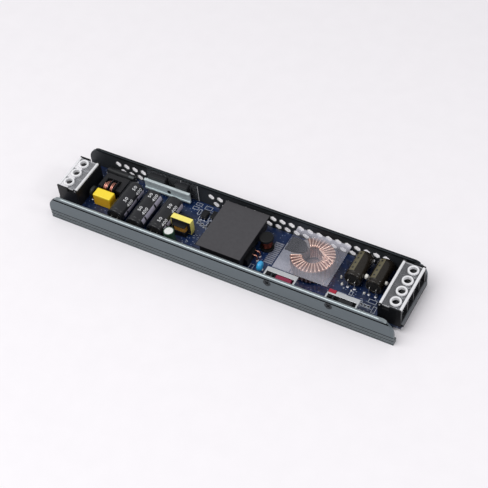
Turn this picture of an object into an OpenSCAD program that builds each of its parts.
// Slim power supply in an open aluminium channel.
// The long axis is X: input terminals at -X, output terminals at +X.
// The vented wall is at +Y, the screwed wall at -Y, and the channel stands on Z = 0.

/* [Channel] */
// Length of the side walls
channel_l = 270; // [262:1:330]
// Width over the side walls
channel_w = 56.2; // [55:0.2:66]
// Height of the side walls
channel_h = 22.5; // [22:0.5:30]
// Thickness of the side walls
wall_t = 1.9; // [1.5:0.1:2.3]
// Thickness of the floor
floor_t = 1.8; // [1.2:0.1:2.4]
// Height of the inner rails that carry the board
rail_h = 3.4; // [3:0.1:4.2]
// Width of the inner rails
rail_w = 2.7; // [2:0.1:4]
// Width of the bead along the top of each wall
bead_w = 2.5; // [2.4:0.1:3]
// Height of that bead
bead_h = 1.9; // [1.4:0.1:2.2]
// Radius of the rounded upper corners of the walls
end_r = 12; // [6:0.5:16]
// Distance from the wall ends to the ends of the floor
floor_setback = 6; // [2:0.5:12]
// Height of the wide groove under each bead
neck_h = 1.4; // [0.8:0.1:2]
// Number of fine grooves low on each outer face
groove_n = 5; // [0:1:7]
// Pitch of the fine grooves
groove_pitch = 1.6; // [1.2:0.1:1.9]
// Depth of all outer grooves
groove_deep = 0.5; // [0.2:0.1:0.8]

/* [Vents] */
// Hexagon size across flats
vent_af = 5; // [3:0.1:5.6]
// Pitch of the vents along the wall
vent_pitch = 7.175; // [6.6:0.025:7.4]
// Height of the upper row
vent_z = 13.7; // [13:0.1:15]
// Height of the lower row
vent_low_z = 7.3; // [6.5:0.1:8]
// Distance of the first vent from the input end of the wall
vent_start = 25; // [20:0.5:34]
// Vents in the group at the input end
vents_in = 5; // [0:1:5]
// Vents in the group at the output end
vents_out = 20; // [0:1:20]
// Places without vents between the two groups
vents_gap = 6; // [6:1:7]

/* [Base holes] */
// Spacing of the tapped holes along the channel
base_hole_x = 200; // [120:1:220]
// Spacing of the tapped holes across the channel
base_hole_y = 30; // [20:1:36]
// Diameter of the tapped holes
base_hole_d = 2.5; // [2:0.1:4]

/* [Board] */
// Thickness of the circuit board
board_t = 1.6; // [1:0.1:2]
// Play between the board edges and the walls
board_play = 0.2; // [0.1:0.05:0.4]
// Length of the notch in the board's near output corner
notch_l = 18; // [12:0.5:19]
// Width of that notch
notch_w = 9.7; // [5:0.1:9.8]
// Thickness of the insulating sheet under the board
sheet_t = 0.4; // [0.2:0.1:0.8]

/* [Terminal blocks] */
// Number of ways on the input side
ways_in = 3; // [2:1:4]
// Number of ways on the output side
ways_out = 4; // [2:1:4]
// Distance between neighbouring ways
way_pitch = 9.5; // [9:0.1:9.8]
// Thickness of the barriers between the ways
barrier_t = 1.5; // [1:0.1:2]
// Depth of a block from its inner face to its ledge
block_d = 18.3; // [17.5:0.1:19]
// How far the ledge stands out past the wall ends
block_out = 1.3; // [0:0.1:3]
// Height of a block over the board
block_h = 14.6; // [13:0.1:14.8]
// Height of the pocket floor over the board
pocket_z = 4; // [3:0.1:5]
// Thickness of the block's inner wall
back_t = 3; // [2:0.1:3.4]
// Thickness of the end ears
ear_t = 0.9; // [0.7:0.1:1.2]
// Diameter of the terminal screws
screw_d = 3.5; // [3:0.1:4]
// Diameter of the terminal screw heads
screw_head_d = 6.2; // [5:0.1:6.6]

/* [Terminal covers] */
// Thickness of the clear cover
cover_t = 1.2; // [0.8:0.1:1.3]
// Diameter of the hinge barrel
barrel_d = 2; // [1.8:0.1:2.2]
// Diameter of the hinge pins
pin_d = 1.2; // [1:0.1:1.4]
// Radial clearance of the hinge pins in the ears
pin_clear = 0.06; // [0.02:0.01:0.1]
// Outer diameter of the collars
collar_d = 7.8; // [7:0.1:8.2]
// Diameter of the screwdriver holes
collar_hole_d = 5.2; // [4:0.1:5.8]
// Height of the collars from the underside of the cover
collar_h = 2.4; // [1.6:0.1:2.4]

/* [Input filter] */
// Length of the film capacitor
film_cap_l = 14.6; // [13:0.1:15.5]
// Width of the film capacitor
film_cap_w = 7.7; // [6:0.1:8.2]
// Height of the film capacitor
film_cap_h = 10.6; // [9:0.1:15]
// Diameter of the thermistor
ntc_d = 8.4; // [7:0.1:9]
// Length of the choke core
choke_l = 19.2; // [18:0.1:19.6]
// Width of the choke core
choke_w = 13.6; // [13.2:0.1:15]
// Side of the square choke leg
choke_leg = 4.4; // [4:0.1:4.5]
// Diameter of the choke wire
choke_wire = 1.2; // [0.8:0.1:1.4]
// Length of the fuse over its end caps
fuse_l = 22.5; // [20:0.1:24]
// Diameter of the sleeved fuse
fuse_d = 5.6; // [5.4:0.1:6.2]

/* [Bulk capacitors] */
// Diameter of the bulk capacitors
bulk_d = 13; // [12:0.1:13.6]
// Length of the bulk capacitors
bulk_l = 31; // [27:0.5:32]
// Space between the bulk capacitors
bulk_space = 3.65; // [3:0.05:4]

/* [Clamps] */
// Thickness of the clamp metal
clamp_t = 1.2; // [1:0.1:1.4]
// Length of the far clamp
far_clamp_l = 38; // [36:0.5:40]
// Height of the far clamp
far_clamp_h = 9.2; // [8:0.1:10]
// Length of each near clamp
near_clamp_l = 23; // [22.5:0.1:24]
// Width of the near clamps seen from above
near_clamp_w = 3.6; // [3:0.1:4]
// Height of the near clamps
near_clamp_h = 12; // [11:0.1:12.6]
// Diameter of the countersunk screws
clamp_screw_d = 3; // [2.5:0.1:3.4]

/* [Semiconductors] */
// Width of a transistor or rectifier case
case_w = 10.2; // [9.5:0.1:10.6]
// Thickness of that case
case_t = 4.4; // [4:0.1:4.6]
// Height of that case
case_h = 15; // [14:0.1:15.6]
// Width of the bridge rectifier
bridge_w = 14.6; // [13:0.1:15]

/* [Transformers] */
// Length of the main core along the channel
main_l = 31; // [30:0.1:32]
// Width of the main core across the channel
main_w = 41; // [40:0.1:42]
// Height of the main core
main_h = 10.2; // [9:0.1:11]
// Length of the film on the main transformer
main_film_l = 34.5; // [33:0.1:35.5]
// Width of the film on the main transformer
main_film_w = 44.6; // [43:0.1:45]
// Width of the auxiliary core
aux_w = 15.4; // [14.5:0.1:16.5]
// Height of the auxiliary core
aux_h = 11.2; // [10.5:0.1:13]
// Thickness of the auxiliary core
aux_t = 4.6; // [4:0.1:5]

/* [Output filter] */
// Outer diameter of the toroid core
toroid_d = 30.8; // [29:0.1:32]
// Hole diameter of the toroid core
toroid_hole_d = 14.7; // [14.2:0.1:16]
// Height of the toroid core
toroid_h = 10.8; // [9:0.1:11.4]
// Wire diameter on the toroid
toroid_wire = 1.15; // [0.9:0.05:1.25]
// Bare part of the toroid, in degrees
toroid_bare = 70; // [40:1:150]
// Length of the clear sheet over the toroid
clear_l = 41; // [38:0.5:43]
// Width of the clear sheet
clear_w = 38.4; // [36:0.2:39]
// Diameter of the drum choke
drum_d = 10.2; // [9:0.1:11]
// Height of the drum choke
drum_h = 11.5; // [9:0.1:13]
// Diameter of the output capacitors
out_cap_d = 12.5; // [11:0.1:12.8]
// Length of the output capacitors
out_cap_l = 22.5; // [20:0.5:23]
// Space between the output capacitors
out_cap_space = 3.2; // [2.5:0.1:3.8]

/* [Hidden] */
$fn = 48;

// Small gap between pieces that lie on each other on curved or moving faces
play = 0.1;
// Length added to a cutting solid so that it passes through a face
past = 1;

// Faces of the channel
inner_y = channel_w / 2 - wall_t;
rail_y = inner_y - rail_w;
bead_z = channel_h - bead_h;
// Faces of the board
board_top = rail_h + board_t;
board_w = 2 * (inner_y - board_play);

// Terminal blocks: local x runs from the inner face to the ledge
ledge_out = 1.7;
ledge_h = 2.4;
block_front = block_d - ledge_out;
pocket_w = way_pitch - barrier_t;
screw_x = 10.2;
screw_deep = 2.4;
screw_clear = 0.1;
plate_t = 0.8;
plate_l = 11;
plate_w = 7.2;
washer_t = 0.8;
screw_head_h = 2.2;
slot_w = 1;
slot_deep = 1;
block_in_x = channel_l / 2 + block_out - block_d;
output_y = channel_w / 2 - bead_w - 0.3 - block_width(ways_out) / 2;
input_y = 0;
// Terminal covers
pin_x = 1.4;
cover_gap = 0.3;
cover_clear = 0.3;
pin_z = block_h + cover_gap + barrel_d / 2;
cover_z = block_h + cover_gap + 0.15;
cover_bar_w = 1.6;
cover_bar_h = 1.9;
ear_x = 8.2;
ear_rise = 2.3;
lug_l = 3;

// Devices behind the clamps stand clear of the beads
film_t = 0.2;
device_back = channel_w / 2 - bead_w - play - film_t;
device_front = device_back - case_t;
clamp_back = device_front - play;
clamp_front = clamp_back - clamp_t;
clamp_top = bead_z - 0.3;
near_screw_z = clamp_top - 3.8;
near_screw_in = 4.4;
far_clamp_z = board_top + 2.6;
far_screw_z = far_clamp_z + 3.7;
countersink_d = 2 * clamp_screw_d - 0.2;
countersink_h = (countersink_d - clamp_screw_d) / 2;

// Stations along the channel, from the input block towards the middle
in_face = -block_in_x;
ntc_t = 3.6;
ntc_x = in_face + 2 + ntc_t / 2;
film_cap_x = ntc_x + ntc_t / 2 + 2.2 + film_cap_l / 2;
film_cap_y = -4.6;
choke_x = film_cap_x - 0.6;
choke_y = film_cap_y + film_cap_w / 2 + 6.4;
choke_z = board_top + 5.6;
bulk_pitch = bulk_d + bulk_space;
bulk_x = film_cap_x + film_cap_l / 2 + 3.1 + bulk_d / 2;
bulk_y = [-17.5, -19, -18];
aux_x = bulk_x + 2 * bulk_pitch + bulk_d / 2 + 0.7 + aux_w / 2;
aux_y = -2.8;
far_clamp_x = bulk_x + bulk_pitch + 5.4;
far_screw_x = far_clamp_x + 1.5;

// Stations from the main transformer towards the output block
// The length that the groups of parts leave free is shared out over the four gaps beside them
drum_gap = 0.2;
main_run = main_film_l + drum_gap + drum_d;
out_cap_pitch = out_cap_d + out_cap_space;
cap_run = out_cap_pitch + out_cap_d;
aux_end = aux_x + aux_w / 2;
free_l = block_in_x - aux_end - main_run - clear_l - cap_run;
gap_share = [13.85, 11.7, 3.8, 4.65] / 34;
main_x = aux_end + free_l * gap_share[0] + main_film_l / 2;
main_y = 1.6;
main_edge = main_x + main_film_l / 2;
drum_x = main_edge + drum_gap + drum_d / 2;
drum_y = 7.9;
disc_x = main_edge + 11.2;
disc_y = -13.3;
clear_x = drum_x + drum_d / 2 + free_l * gap_share[1] + clear_l / 2;
toroid_x = clear_x - 0.6;
toroid_y = 6.1;
near_clamp_x = [clear_x - 22.4, clear_x + 23.1];
rectifier_in = 14.2;
out_cap_x = clear_x + clear_l / 2 + free_l * gap_share[2] + out_cap_d / 2;
out_cap_y = inner_y - 1.7 - out_cap_l;
// Row of chip resistors along the near clamps
chip_row_y = -clamp_back + near_clamp_w + 3.6;

// Outer width of a terminal block over its ears
function block_width(n) = n * way_pitch + barrier_t + 2 * ear_t;
// Place across the block of way i out of n
function way_y(i, n) = (i - (n - 1) / 2) * way_pitch;

// A cylinder along Y
module rod_y(d, h, center = true) {
    rotate([90, 0, 0]) cylinder(d = d, h = h, center = center);
}

// A block with its edges cut at 45 degrees, standing on its base
module cut_block(l, w, h, cut) {
    intersection() {
        linear_extrude(h) cut_square(l, w, cut);
        translate([0, w / 2, h / 2]) rotate([90, 0, 0]) linear_extrude(w) cut_square(l, h, cut);
        translate([-l / 2, 0, h / 2]) rotate([90, 0, 90]) linear_extrude(l) cut_square(w, h, cut);
    }
}

module cut_square(a, b, cut) {
    x = a / 2;
    y = b / 2;
    polygon([
        [-x + cut, -y], [x - cut, -y], [x, -y + cut], [x, y - cut],
        [x - cut, y], [-x + cut, y], [-x, y - cut], [-x, -y + cut]
    ]);
}

// A rectangle with round corners, made of true arcs
module round_square(a, b, r) {
    square([a - 2 * r, b], center = true);
    square([a, b - 2 * r], center = true);
    for (x = [-1, 1], y = [-1, 1]) translate([x * (a / 2 - r), y * (b / 2 - r)]) circle(r);
}

// Section of the channel in the Y-Z plane
module channel_section() {
    difference() {
        translate([-channel_w / 2, 0]) square([channel_w, bead_z + bead_h / 2]);
        translate([-inner_y, rail_h]) square([2 * inner_y, channel_h]);
        translate([-rail_y, floor_t]) square([2 * rail_y, channel_h]);
        for (s = [-1, 1]) {
            outer_groove(s, bead_z - neck_h, neck_h);
            for (i = [0 : 1 : groove_n - 1]) outer_groove(s, (i + 0.5) * groove_pitch, groove_pitch / 2);
        }
    }
    for (s = [-1, 1]) translate([s * (channel_w - bead_w) / 2, bead_z + bead_h / 2])
        round_square(bead_w, bead_h, bead_h * 0.45);
}

// A groove in the outer face of one wall
module outer_groove(side, z, h) {
    translate([side * channel_w / 2, z + h / 2]) square([2 * groove_deep, h], center = true);
}

module channel() {
    color("#69737a") difference() {
        rotate([90, 0, 90]) linear_extrude(channel_l, center = true) channel_section();
        for (end = [-1, 1]) {
            end_rounding(end);
            floor_end(end);
        }
        vents();
        for (x = near_clamp_x) screw_seat(-1, x + near_screw_in, near_screw_z);
        screw_seat(1, far_screw_x, far_screw_z);
        for (x = [-1, 1], y = [-1, 1])
            translate([x * base_hole_x / 2, y * base_hole_y / 2, -past])
                cylinder(d = base_hole_d, h = floor_t + 2 * past);
    }
}

// What is cut away to round the upper corners of both walls at one end
module end_rounding(end) {
    translate([end * (channel_l / 2 - end_r), 0, channel_h - end_r]) difference() {
        translate([end > 0 ? 0 : -end_r - past, -channel_w, 0])
            cube([end_r + past, 2 * channel_w, end_r + past]);
        rod_y(2 * end_r, 3 * channel_w);
    }
}

module floor_end(end) {
    translate([end * channel_l / 2, 0, 0])
        cube([2 * floor_setback, 2 * rail_y, 3 * floor_t], center = true);
}

// Both rows of vents in the far wall, each in two groups
module vents() {
    first = -channel_l / 2 + vent_start;
    second = vents_in + vents_gap;
    for (k = [0 : 1 : second + vents_out - 1]) if (k < vents_in || k >= second) {
        vent(first + k * vent_pitch, vent_z);
        last_of_group = k == vents_in - 1 || k == second + vents_out - 1;
        if (!last_of_group) vent(first + (k + 0.5) * vent_pitch, vent_low_z);
    }
}

module vent(x, z) {
    translate([x, inner_y + wall_t / 2, z]) rotate([90, 30, 0])
        cylinder(d = vent_af / cos(30), h = wall_t + 2 * past, center = true, $fn = 6);
}

// Clearance hole and countersink for a clamp screw
module screw_seat(side, x, z) {
    translate([x, side * channel_w / 2, z]) rotate([90 * side, 0, 0]) {
        hole_d = clamp_screw_d + 2 * play;
        translate([0, 0, -past]) cylinder(d = hole_d, h = 3 * wall_t);
        cylinder(d1 = countersink_d + 2 * play, d2 = hole_d, h = countersink_h);
    }
}

module insulating_sheet() {
    sheet_l = channel_l - 2 * floor_setback - 2;
    color("#222326") translate([0, 0, floor_t + sheet_t / 2])
        cube([sheet_l, 2 * rail_y - 0.6, sheet_t], center = true);
}

module circuit_board() {
    color("#1c3f7a") translate([0, 0, rail_h]) linear_extrude(board_t) difference() {
        square([channel_l, board_w], center = true);
        translate([channel_l / 2 - notch_l, -board_w / 2 - past]) square([notch_l + past, notch_w + past]);
    }
}

// Puts a block's local frame on the board, at the input or the output end
module at_input() {
    translate([-block_in_x, input_y, board_top]) rotate([0, 0, 180]) children();
}

module at_output() {
    translate([block_in_x, output_y, board_top]) children();
}

module terminal_block(n) {
    w = n * way_pitch + barrier_t;
    full_w = block_width(n);
    color("#17181a") difference() {
        union() {
            translate([0, -w / 2, 0]) cube([block_d, w, ledge_h]);
            translate([0, -w / 2, 0]) cube([block_front, w, block_h]);
            translate([0, -full_w / 2, 0]) cube([block_front, full_w, block_h - 1.2]);
            for (s = [-1, 1]) {
                end_ear(s, w, ear_x, block_front - ear_x, block_h + ear_rise);
                end_ear(s, w, 0, lug_l, pin_z + barrel_d / 2);
            }
        }
        for (i = [0 : n - 1]) translate([0, way_y(i, n), 0]) {
            translate([back_t, -pocket_w / 2, pocket_z]) cube([block_d, pocket_w, block_h]);
            translate([screw_x, 0, pocket_z - screw_deep - play])
                cylinder(d = screw_d + 2 * screw_clear, h = block_h);
        }
        translate([pin_x, 0, pin_z]) rod_y(pin_d + 2 * pin_clear, full_w + 2 * past);
    }
}

// A raised plate on one end of a block
module end_ear(side, w, x, l, top) {
    translate([x, side > 0 ? w / 2 : -w / 2 - ear_t, 0]) cube([l, ear_t, top]);
}

module terminal_plates(n) {
    color("#b9b5a8") for (i = [0 : n - 1]) translate([0, way_y(i, n), pocket_z]) difference() {
        translate([back_t + 0.4, -plate_w / 2, 0]) cube([plate_l, plate_w, plate_t]);
        translate([screw_x, 0, -past]) cylinder(d = screw_d + 2 * screw_clear, h = plate_t + 2 * past);
    }
}

module terminal_screws(n) {
    head_z = plate_t + washer_t;
    color("#c9ccd0") for (i = [0 : n - 1]) translate([screw_x, way_y(i, n), pocket_z]) difference() {
        union() {
            translate([0, 0, -screw_deep]) cylinder(d = screw_d, h = screw_deep + head_z);
            translate([0, 0, plate_t + washer_t / 2])
                cube([screw_head_d + 0.4, screw_head_d + 0.4, washer_t], center = true);
            translate([0, 0, head_z]) cylinder(d = screw_head_d, h = screw_head_h);
        }
        for (a = [0, 90]) rotate([0, 0, a]) translate([0, 0, head_z + screw_head_h])
            cube([screw_head_d * 0.7, slot_w, 2 * slot_deep], center = true);
    }
}

// The clear cover, hinged along its inner edge
module terminal_cover(n) {
    w = n * way_pitch + barrier_t;
    cover_w = w - 2 * cover_clear;
    color("#dfe6ea", 0.35) difference() {
        union() {
            translate([pin_x, -cover_w / 2, cover_z]) cube([block_front - pin_x, cover_w, cover_t]);
            translate([block_front - cover_bar_w, -cover_w / 2, cover_z])
                cube([cover_bar_w, cover_w, cover_bar_h]);
            translate([pin_x, 0, pin_z]) rod_y(barrel_d, cover_w);
            translate([pin_x, 0, pin_z]) rod_y(pin_d, block_width(n));
            for (i = [0 : n - 1]) translate([screw_x, way_y(i, n), cover_z])
                cylinder(d = collar_d, h = collar_h);
        }
        for (i = [0 : n - 1]) translate([screw_x, way_y(i, n), cover_z - past])
            cylinder(d = collar_hole_d, h = collar_h + 2 * past);
    }
}

module input_block() { at_input() terminal_block(ways_in); }
module input_plates() { at_input() terminal_plates(ways_in); }
module input_screws() { at_input() terminal_screws(ways_in); }
module input_cover() { at_input() terminal_cover(ways_in); }
module output_block() { at_output() terminal_block(ways_out); }
module output_plates() { at_output() terminal_plates(ways_out); }
module output_screws() { at_output() terminal_screws(ways_out); }
module output_cover() { at_output() terminal_cover(ways_out); }

// Frame of the fuse: its axis along X, its input end at x = 0
fuse_cap_l = 4.5;
fuse_cap_d = fuse_d - 0.5;
fuse_lead_d = 0.8;
module at_fuse() {
    translate([in_face + 1, inner_y - fuse_d / 2 - 0.5, board_top + fuse_d / 2 + play])
        rotate([0, 90, 0]) children();
}

module fuse_sleeve() {
    color("#26272a") at_fuse() difference() {
        cylinder(d = fuse_d, h = fuse_l - fuse_cap_l);
        translate([0, 0, -past]) cylinder(d = fuse_cap_d + 0.1, h = fuse_l + 2 * past);
    }
}

// The fuse itself, with its end caps and the leads that go down to the board
module fuse_caps() {
    drop = fuse_d / 2 + play;
    reach = 1.5;
    color("#b4b6b8") at_fuse() {
        cylinder(d = fuse_cap_d, h = fuse_l);
        translate([0, 0, -reach]) cylinder(d = fuse_lead_d, h = fuse_l + 2 * reach);
        for (z = [-reach, fuse_l + reach]) translate([0, 0, z]) {
            sphere(d = fuse_lead_d);
            rotate([0, 90, 0]) cylinder(d = fuse_lead_d, h = drop);
        }
    }
}

// A disc on two leads, in the Y-Z plane, with its lowest point above the origin
module leaded_disc(d, t, rise, lead_pitch) {
    rim = t * 0.35;
    translate([0, 0, rise + d / 2]) rotate([0, 90, 0]) rotate_extrude() polygon([
        [0, -t / 2], [d / 2 - rim, -t / 2], [d / 2, -t / 2 + rim],
        [d / 2, t / 2 - rim], [d / 2 - rim, t / 2], [0, t / 2]
    ]);
    for (s = [-1, 1]) translate([0, s * lead_pitch / 2, 0]) cylinder(d = 0.7, h = rise + d / 2);
}

module thermistor() {
    color("#2c2e2d") translate([ntc_x, film_cap_y + 2.5, board_top]) leaded_disc(ntc_d, ntc_t, 1.4, 5);
}

module film_capacitor() {
    color("#f2d43a") translate([film_cap_x, film_cap_y, board_top])
        cut_block(film_cap_l, film_cap_w, film_cap_h, 0.9);
}

// Common-mode choke: the wound leg lies along X at the near side of the core
choke_window_l = choke_l - 2 * choke_leg;
choke_flange = 2.35 * choke_leg;
choke_flange_t = 0.8;
choke_tube_d = 1.75 * choke_leg;
choke_section = (choke_window_l - 3 * choke_flange_t - 4 * play) / 2;

module choke_core() {
    far = choke_w - choke_leg / 2;
    color("#303236") translate([choke_x, choke_y, choke_z]) difference() {
        translate([-choke_l / 2, -choke_leg / 2, -choke_leg / 2]) cube([choke_l, choke_w, choke_leg]);
        translate([-choke_window_l / 2, choke_leg / 2, -choke_leg])
            cube([choke_window_l, choke_w - 2 * choke_leg, 2 * choke_leg]);
        translate([0, far, choke_leg / 2]) cube([choke_l / 3, 0.6, 0.6], center = true);
    }
}

module choke_bobbin() {
    foot = choke_z - board_top;
    gap = (choke_window_l - 2 * play - choke_flange_t) / 2;
    color("#1d1e20") translate([choke_x, choke_y, choke_z]) difference() {
        union() {
            rotate([0, 90, 0]) cylinder(d = choke_tube_d, h = 2 * gap, center = true);
            cube([choke_flange_t, choke_flange, choke_flange], center = true);
            for (x = [-gap, gap]) translate([x - choke_flange_t / 2, -choke_flange / 2, -foot])
                cube([choke_flange_t, choke_flange, choke_flange / 2 + foot]);
        }
        cube([choke_l, choke_leg + 2 * play, choke_leg + 2 * play], center = true);
    }
}

// Two sections of round wire, one on each side of the middle flange
module choke_windings() {
    turns = floor(choke_section / choke_wire);
    color("#b8734f") translate([choke_x, choke_y, choke_z]) rotate([0, 90, 0])
        for (s = [-1, 1]) translate([0, 0, s * (choke_section + choke_flange_t + 2 * play) / 2])
            wire_layer(choke_tube_d / 2 + play / 2, choke_wire, turns);
}

// One layer of round wire on a round former, standing on its axis
module wire_layer(r, wire, turns) {
    rotate_extrude() {
        translate([r, -turns * wire / 2]) square([wire / 2, turns * wire]);
        for (i = [0 : turns - 1]) translate([r + wire / 2, (i - (turns - 1) / 2) * wire])
            circle(d = wire, $fn = 24);
    }
}

// Electrolytic capacitor along Z: lead end with its crimp at z = 0, closed end on top
module electrolytic(d, l) {
    r = d / 2;
    crimp = 2.2;
    rotate_extrude() polygon([
        [0, 0.5], [r - 1.2, 0.5], [r - 1.2, 0], [r - 0.5, 0], [r, 0.5],
        [r, crimp], [r - 0.5, crimp + 0.5], [r, crimp + 1],
        [r, l - 0.7], [r - 0.7, l], [r - 1.4, l], [r - 1.4, l - 0.25], [0, l - 0.25]
    ]);
}

// The same lying along Y on the board, its leads bent down at the near end
module lying_electrolytic(d, l, lead_pitch, lead_d) {
    axis = d / 2 + play;
    reach = 1.6;
    translate([0, 0, axis]) rotate([-90, 0, 0]) electrolytic(d, l);
    for (s = [-1, 1]) translate([s * lead_pitch / 2, -reach, axis]) {
        translate([0, reach + 0.6, 0]) rotate([90, 0, 0]) cylinder(d = lead_d, h = reach + 0.6);
        sphere(d = lead_d);
        translate([0, 0, -axis]) cylinder(d = lead_d, h = axis);
    }
}

module bulk_capacitor(i) {
    color("#1b1b1e") translate([bulk_x + i * bulk_pitch, bulk_y[i], board_top])
        lying_electrolytic(bulk_d, bulk_l, 5, 0.8);
}

module bulk_capacitor_1() { bulk_capacitor(0); }
module bulk_capacitor_2() { bulk_capacitor(1); }
module bulk_capacitor_3() { bulk_capacitor(2); }

// Pressed bar with a lip along its upper edge, screwed to the far wall
module far_clamp() {
    lip = 0.8;
    lip_h = 1.4;
    color("#c3c9cd") translate([far_clamp_x, 0, far_clamp_z]) difference() {
        union() {
            translate([-far_clamp_l / 2, clamp_front, 0]) cube([far_clamp_l, clamp_t, far_clamp_h]);
            for (z = [0, far_clamp_h - lip_h]) translate([-far_clamp_l / 2, clamp_front - lip, z])
                cube([far_clamp_l, lip + clamp_t, lip_h]);
        }
        translate([far_screw_x - far_clamp_x, clamp_front, far_screw_z - far_clamp_z])
            rod_y(clamp_screw_d + play, 6);
    }
}

// Moulded case on three leads, standing on the board, its back at y = 0
module power_case(w, leads, pitch) {
    body_z = 0.6;
    cut = 0.5;
    translate([0, -case_t / 2, body_z]) cut_block(w, case_t, case_h - body_z, cut);
    for (i = [0 : leads - 1]) translate([(i - (leads - 1) / 2) * pitch, -case_t / 2, body_z / 2])
        cube([0.8, 0.6, body_z], center = true);
}

far_gap = clamp_screw_d / 2 + 1;
bridge_x = far_screw_x - far_gap - bridge_w / 2 - 1;
transistor_x = far_screw_x + far_gap + case_w / 2 + 2;

module bridge_rectifier() {
    color("#202124") translate([bridge_x, device_back, board_top]) power_case(bridge_w, 4, 3.8);
}

module switching_transistor() {
    color("#202124") translate([transistor_x, device_back, board_top]) power_case(case_w, 3, 2.54);
}

// Clear film between the far devices and the wall
transistor_film_l = far_clamp_l + 5;
module transistor_film() {
    color("#e9eef0", 0.3) difference() {
        translate([far_clamp_x - far_clamp_l / 2 - 1, device_back, board_top])
            cube([transistor_film_l, film_t, channel_h - board_top - 0.4]);
        translate([far_screw_x, device_back, far_screw_z]) rod_y(clamp_screw_d + 2 * play, 4 * film_t);
    }
}

// Auxiliary transformer: E cores with their legs upright, tape around the outside
aux_base = 1;
aux_yoke = 2.5;
aux_leg = 2.4;
aux_post = 4.2;
aux_tape_t = 0.25;
aux_window_h = aux_h - 2 * aux_yoke;
aux_core_z = board_top + aux_base + aux_tape_t + play;
aux_wound_x = aux_w / 2 - aux_leg - 0.3;
aux_wound_y = 5.4;
aux_flange_t = 0.7;

module aux_core() {
    window_w = aux_w / 2 - aux_leg - aux_post / 2;
    color("#35363a") translate([aux_x, aux_y, aux_core_z + aux_h / 2]) rotate([90, 0, 0])
        linear_extrude(aux_t, center = true) difference() {
            square([aux_w, aux_h], center = true);
            for (s = [-1, 1]) translate([s * (aux_post + window_w) / 2, 0])
                square([window_w, aux_window_h], center = true);
        }
}

module aux_tape() {
    color("#f0e25a") translate([aux_x, aux_y, aux_core_z + aux_h / 2]) rotate([90, 0, 0])
        linear_extrude(aux_t - 0.2, center = true) difference() {
            square([aux_w + 2 * aux_tape_t, aux_h + 2 * aux_tape_t], center = true);
            square([aux_w, aux_h], center = true);
        }
}

// Former with feet on the board on both sides of the lower yoke
module aux_bobbin() {
    tube_w = aux_post + 2 * play + 1.2;
    tube_t = aux_t + 2 * play + 1.2;
    flange_y = aux_wound_y + 0.5;
    side = aux_t / 2 + play;
    window_z = aux_core_z - board_top + aux_yoke + play;
    window_h = aux_window_h - 2 * play;
    color("#1e1f21") translate([aux_x, aux_y, board_top]) {
        difference() {
            union() {
                translate([-tube_w / 2, -tube_t / 2, window_z]) cube([tube_w, tube_t, window_h]);
                for (z = [0, window_h - aux_flange_t]) translate([-aux_wound_x, -flange_y, window_z + z])
                    cube([2 * aux_wound_x, 2 * flange_y, aux_flange_t]);
                for (s = [-1, 1]) translate([-aux_wound_x, s > 0 ? side : -flange_y, 0])
                    cube([2 * aux_wound_x, flange_y - side, window_z + aux_flange_t]);
                translate([-aux_wound_x, -flange_y, 0]) cube([2 * aux_wound_x, 2 * flange_y, aux_base]);
            }
            translate([-aux_post / 2 - play, -aux_t / 2 - play, window_z - past])
                cube([aux_post + 2 * play, aux_t + 2 * play, window_h + 2 * past]);
        }
    }
}

module aux_winding() {
    tube_w = aux_post + 4 * play + 1.2;
    tube_t = aux_t + 4 * play + 1.2;
    wound_h = aux_window_h - 2 * aux_flange_t - 4 * play;
    color("#b98a2e") translate([aux_x, aux_y, aux_core_z + aux_yoke + aux_flange_t + 2 * play])
        linear_extrude(wound_h) difference() {
            round_square(2 * aux_wound_x - 0.2, 2 * aux_wound_y, 1.8);
            square([tube_w, tube_t], center = true);
        }
}

module aux_capacitor() {
    color("#3d5b46") translate([aux_x - 3.2, -16, board_top]) electrolytic(8, 11.8);
}

// Moulded chips by the main transformer and the output capacitors
module control_chips() {
    far_x = main_x - main_film_l / 2 - 7;
    near_x = out_cap_x + out_cap_pitch / 2;
    color("#1c1d20") translate([0, 0, board_top]) {
        translate([far_x, 17, 0]) cut_block(4.9, 6.4, 3.2, 0.35);
        translate([far_x + 1, 8.5, 0]) cut_block(4, 5, 1.6, 0.3);
        translate([far_x - 7, 15, 0]) cut_block(4.6, 6.4, 3.4, 0.35);
        translate([near_x, chip_row_y + 3.6, 0]) cut_block(5, 4, 1.6, 0.3);
    }
}

// Rows of chip resistors beside the chips
module chip_resistors() {
    far_x = main_x - main_film_l / 2 - 3;
    near_x = out_cap_x - 4;
    color("#2a2b2e") translate([0, 0, board_top]) {
        for (i = [0 : 4]) translate([far_x, 4 + 3 * i, 0]) cut_block(2, 1.3, 0.6, 0.12);
        for (i = [0 : 3]) translate([far_x - 12.5 + 3 * i, 8 - i, 0]) cut_block(1.3, 2, 0.6, 0.12);
        for (i = [0 : 4]) translate([near_x + 3.4 * i, chip_row_y, 0]) cut_block(2, 1.3, 0.6, 0.12);
        for (i = [0 : 2]) translate([near_x + 16 + 2.6 * i, chip_row_y + 4, 0])
            cut_block(1.3, 2, 0.6, 0.12);
    }
}

// Main transformer: flat E cores with their legs along X
main_yoke = 6.5;
main_leg = 6;
main_post = 12;
main_lift = 2.3;
main_window_l = main_l - 2 * main_yoke;
main_window_w = (main_w - 2 * main_leg - main_post) / 2;
main_flange_t = 0.9;
main_tube_t = 0.8;
main_tube_w = main_post + 2 * play + 2 * main_tube_t;
main_tube_h = main_h + 2 * play + 2 * main_tube_t;
main_wound_w = main_w - 2 * main_leg - 1.4;
main_wound_h = main_h + 3.2;
main_mid_z = main_lift + main_h / 2;

module main_core() {
    color("#3a3b3f") translate([main_x, main_y, board_top + main_lift])
        linear_extrude(main_h) difference() {
            square([main_l, main_w], center = true);
            for (s = [-1, 1]) translate([0, s * (main_post + main_window_w) / 2])
                square([main_window_l, main_window_w], center = true);
        }
}

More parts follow.
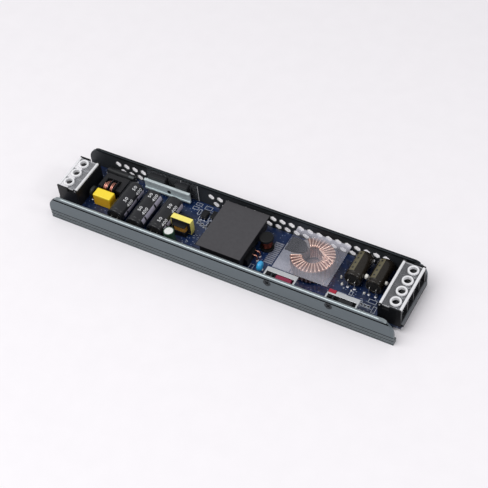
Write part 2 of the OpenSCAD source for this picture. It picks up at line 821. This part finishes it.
// Former round the middle leg, with a pin rail under each yoke
module main_bobbin() {
    gap = (main_window_l - 2 * play - main_flange_t) / 2;
    flange_w = main_wound_w + 0.8;
    flange_h = main_mid_z + main_wound_h / 2;
    rail_out = main_l / 2 + 3;
    color("#1e1f22") translate([main_x, main_y, board_top]) difference() {
        union() {
            translate([0, 0, main_mid_z]) cube([2 * gap, main_tube_w, main_tube_h], center = true);
            for (s = [-1, 1]) {
                translate([s * gap - main_flange_t / 2, -flange_w / 2, 0])
                    cube([main_flange_t, flange_w, flange_h]);
                pin_rail(s, gap, rail_out);
            }
        }
        translate([0, 0, main_mid_z])
            cube([main_l, main_post + 2 * play, main_h + 2 * play], center = true);
    }
}

// Foot of the former under one yoke, with an upright edge that holds the leads
pin_rail_w = 13;
pin_rail_y = -8.2;
pin_rail_h = 6;
module pin_rail(side, from, to) {
    edge_t = 2.6;
    translate([0, pin_rail_y - pin_rail_w / 2, 0]) {
        translate([side > 0 ? from : -to, 0, 0]) cube([to - from, pin_rail_w, main_lift - play]);
        translate([side > 0 ? to - edge_t : -to, 0, 0]) cube([edge_t, pin_rail_w, pin_rail_h]);
    }
}

module main_winding() {
    wound_l = main_window_l - 2 * main_flange_t - 4 * play;
    color("#26272a") translate([main_x, main_y, board_top + main_mid_z]) rotate([90, 0, 90])
        linear_extrude(wound_l, center = true) difference() {
            round_square(main_wound_w, main_wound_h, 3);
            square([main_tube_w + 2 * play, main_tube_h + 2 * play], center = true);
        }
}

module main_film() {
    color("#4a494c") translate([main_x, main_y, board_top + main_mid_z + main_wound_h / 2 + 0.2])
        cube([main_film_l, main_film_w, 0.4], center = true);
}

// Thick copper leads from the pin rail down to the board
module secondary_leads() {
    lead_d = 1.6;
    lead_z = pin_rail_h - lead_d;
    reach = 3;
    color("#b8734f") for (i = [0, 1])
        translate([main_x + main_l / 2 + 3, main_y + pin_rail_y + 1.5 + 4 * i, board_top + lead_z]) {
            rotate([0, 90, 0]) cylinder(d = lead_d, h = reach);
            translate([reach, 0, 0]) sphere(d = lead_d);
            translate([reach, 0, -lead_z]) cylinder(d = lead_d, h = lead_z);
        }
}

// Drum choke: two flanges on a post, wound with one layer of wire
drum_flange_t = 2;
drum_wire = 1.2;
module drum_core() {
    r = drum_d / 2;
    post = r - drum_wire - 1.2;
    color("#1a1b1c") translate([drum_x, drum_y, board_top]) rotate_extrude() polygon([
        [0, 0], [r - 0.3, 0], [r, 0.3], [r, drum_flange_t], [post, drum_flange_t],
        [post, drum_h - drum_flange_t], [r, drum_h - drum_flange_t],
        [r, drum_h - 0.4], [r - 0.4, drum_h], [0, drum_h]
    ]);
}

module drum_winding() {
    turns = floor((drum_h - 2 * drum_flange_t - 2 * play) / drum_wire);
    color("#8f4a32") translate([drum_x, drum_y, board_top + drum_h / 2])
        wire_layer(drum_d / 2 - drum_wire - 1.2 + play, drum_wire, turns);
}

module disc_capacitor() {
    color("#35a8e0") translate([disc_x, disc_y, board_top]) rotate([0, 0, 6])
        leaded_disc(7.6, 4, 2.2, 4.4);
}

// Toroid on the board: the wire runs round the ring's section and along the ring at once
toroid_z = board_top + play + toroid_wire + play + toroid_h / 2;
module toroid_core() {
    r = toroid_d / 2;
    hole = toroid_hole_d / 2;
    h = toroid_h / 2;
    cut = 0.8;
    color("#4b4d51") translate([toroid_x, toroid_y, toroid_z]) rotate_extrude() polygon([
        [hole + cut, -h], [r - cut, -h], [r, -h + cut], [r, h - cut],
        [r - cut, h], [hole + cut, h], [hole, h - cut], [hole, -h + cut]
    ]);
}

wire_sides = 6;
arc_steps = 3;
turn_steps = 4 * arc_steps;
// Half sizes and corner radius of one turn, at the middle of the wire
turn_x = (toroid_d - toroid_hole_d) / 4 + play + toroid_wire / 2;
turn_z = toroid_h / 2 + play + toroid_wire / 2;
turn_r = toroid_wire / 2 + 0.6;
ring_r = (toroid_d + toroid_hole_d) / 4;
// Turns that fit side by side in the hole
toroid_turns = floor(2 * PI * (ring_r - turn_x) * (1 - toroid_bare / 360) / (1.05 * toroid_wire));
// Direction of the middle of the bare part
bare_mid = 167;

// Step k of a turn: which corner it is at, and the direction that it faces there
function step_corner(k) = floor(k / arc_steps) % 4;
function step_angle(k) = 90 * step_corner(k) + 90 * (k % arc_steps) / (arc_steps - 1) - 90;
function corner_sign(c) = [[1, -1], [1, 1], [-1, 1], [-1, -1]][c];
function turn_point(k, out) = let (c = corner_sign(step_corner(k)), a = step_angle(k), r = turn_r + out)
    [ring_r + c[0] * (turn_x - turn_r) + r * cos(a), c[1] * (turn_z - turn_r) + r * sin(a)];
// Angle along the ring at step k of the whole winding
function ring_angle(k) = bare_mid + toroid_bare / 2 + (360 - toroid_bare) * k / (toroid_turns * turn_steps);
// Point j on the wire's outline at step k
function wire_point(k, j) = let (
        b = 360 * j / wire_sides,
        p = turn_point(k % turn_steps, toroid_wire / 2 * cos(b)),
        t = ring_angle(k),
        s = toroid_wire / 2 * sin(b)
    ) [p[0] * cos(t) - s * sin(t), p[0] * sin(t) + s * cos(t), p[1]];

module toroid_winding() {
    last = toroid_turns * turn_steps;
    points = [for (k = [0 : last], j = [0 : wire_sides - 1]) wire_point(k, j)];
    sides = [
        for (k = [0 : last - 1], j = [0 : wire_sides - 1]) let (
            a = k * wire_sides + j,
            b = k * wire_sides + (j + 1) % wire_sides
        ) each [[a, b, b + wire_sides], [a, b + wire_sides, a + wire_sides]]
    ];
    first_end = [[for (j = [0 : wire_sides - 1]) wire_sides - 1 - j]];
    last_end = [[for (j = [0 : wire_sides - 1]) last * wire_sides + j]];
    color("#c98a66") translate([toroid_x, toroid_y, toroid_z])
        polyhedron(points, concat(sides, first_end, last_end), convexity = 10);
}

module toroid_sheet() {
    clear_t = 0.3;
    wire_top = toroid_z + turn_z + toroid_wire / 2;
    color("#dfe3e8", 0.4) translate([clear_x, toroid_y - 2.3, wire_top + play + clear_t / 2])
        cube([clear_l, clear_w, clear_t], center = true);
}

// Pressed clamp of channel section, its ends bent back to the near wall
// A notch in its flanges leaves room for a capacitor
snubber_l = 5.4;
snubber_t = 3.4;
module near_clamp(i, notch) {
    foot_h = near_clamp_h - 4;
    base_z = clamp_top - near_clamp_h;
    color("#cfd3d8") translate([near_clamp_x[i], 0, base_z]) difference() {
        union() {
            translate([0, -clamp_back, 0]) cube([near_clamp_l, clamp_t, near_clamp_h]);
            for (z = [0, near_clamp_h - clamp_t])
                translate([notch, -clamp_back, z]) cube([near_clamp_l - notch, near_clamp_w, clamp_t]);
            for (x = [0, near_clamp_l - clamp_t]) translate([x, -inner_y + play, near_clamp_h - foot_h])
                cube([clamp_t, inner_y - play - clamp_back + clamp_t, foot_h]);
        }
        translate([near_screw_in, -clamp_back, near_screw_z - base_z]) rod_y(clamp_screw_d + play, 6);
    }
}

module near_clamp_1() { near_clamp(0, 0); }
module near_clamp_2() { near_clamp(1, snubber_l + 0.5); }

// Places the device that a near clamp presses on the wall
module at_rectifier(i) {
    translate([near_clamp_x[i] + rectifier_in, -device_back, board_top]) mirror([0, 1, 0]) children();
}

// The first rectifier stands inside a rubber sleeve that is closed on top
sleeve_t = 0.6;
sleeve_z = 2;
module output_rectifier_1() {
    inside_t = case_t - 2 * sleeve_t;
    color("#202124") at_rectifier(0) {
        translate([0, -case_t / 2, 0.6]) cut_block(case_w, inside_t, case_h - sleeve_t - 0.6, 0.4);
        for (i = [-1 : 1]) translate([2.54 * i - 0.4, -case_t / 2 - 0.3, 0]) cube([0.8, 0.6, 0.6]);
    }
}

module output_rectifier_2() {
    color("#202124") at_rectifier(1) power_case(case_w, 3, 2.54);
}

module rectifier_sleeve() {
    color("#8f2233") at_rectifier(0) translate([0, -case_t / 2, sleeve_z]) difference() {
        cut_block(case_w + 2 * sleeve_t, case_t, case_h - sleeve_z, 0.5);
        translate([0, 0, -past]) linear_extrude(case_h - sleeve_z - sleeve_t + past)
            square([case_w, case_t - 2 * sleeve_t], center = true);
    }
}

// Red box capacitor in the notch of the second clamp
module snubber_capacitor() {
    y = -clamp_front + play + snubber_t / 2;
    color("#b01f38") translate([near_clamp_x[1] + snubber_l / 2, y, board_top])
        cut_block(snubber_l, snubber_t, 14.6, 0.4);
}

// Pads between the devices and the walls
pad_h = 12;
pad_z = board_top + sleeve_z + 0.6;
module thermal_pads() {
    pad_t = inner_y - device_back;
    color("#8f9398") {
        for (x = near_clamp_x) translate([x + rectifier_in - case_w / 2, -inner_y, pad_z])
            cube([case_w, pad_t, pad_h]);
        for (p = [[bridge_x, bridge_w], [transistor_x, case_w]])
            translate([p[0] - p[1] / 2, device_back + film_t, pad_z]) cube([p[1], pad_t - film_t, pad_h]);
    }
}

// Countersunk screws through the walls into the clamps
module clamp_screws() {
    color("#26282b") {
        for (x = near_clamp_x) clamp_screw(-1, x + near_screw_in, near_screw_z);
        clamp_screw(1, far_screw_x, far_screw_z);
    }
}

module clamp_screw(side, x, z) {
    reach = channel_w / 2 - clamp_front;
    translate([x, side * (channel_w / 2 - 0.1), z]) rotate([90 * side, 0, 0]) difference() {
        union() {
            cylinder(d1 = countersink_d, d2 = clamp_screw_d, h = countersink_h);
            cylinder(d = clamp_screw_d, h = reach);
        }
        for (a = [0, 90]) rotate([0, 0, a + 45]) cube([countersink_d * 0.6, 0.7, 1.8], center = true);
    }
}

module output_capacitor(i) {
    color("#211f1d") translate([out_cap_x + i * out_cap_pitch, out_cap_y, board_top])
        lying_electrolytic(out_cap_d, out_cap_l, 5, 0.7);
}

module output_capacitor_1() { output_capacitor(0); }
module output_capacitor_2() { output_capacitor(1); }

channel();
insulating_sheet();
circuit_board();
input_block();
input_plates();
input_screws();
input_cover();
output_block();
output_plates();
output_screws();
output_cover();
fuse_sleeve();
fuse_caps();
thermistor();
film_capacitor();
choke_core();
choke_bobbin();
choke_windings();
bulk_capacitor_1();
bulk_capacitor_2();
bulk_capacitor_3();
far_clamp();
bridge_rectifier();
switching_transistor();
transistor_film();
aux_core();
aux_bobbin();
aux_winding();
aux_tape();
aux_capacitor();
control_chips();
chip_resistors();
main_core();
main_bobbin();
main_winding();
main_film();
secondary_leads();
drum_core();
drum_winding();
disc_capacitor();
toroid_core();
toroid_winding();
toroid_sheet();
near_clamp_1();
near_clamp_2();
output_rectifier_1();
output_rectifier_2();
rectifier_sleeve();
snubber_capacitor();
thermal_pads();
clamp_screws();
output_capacitor_1();
output_capacitor_2();
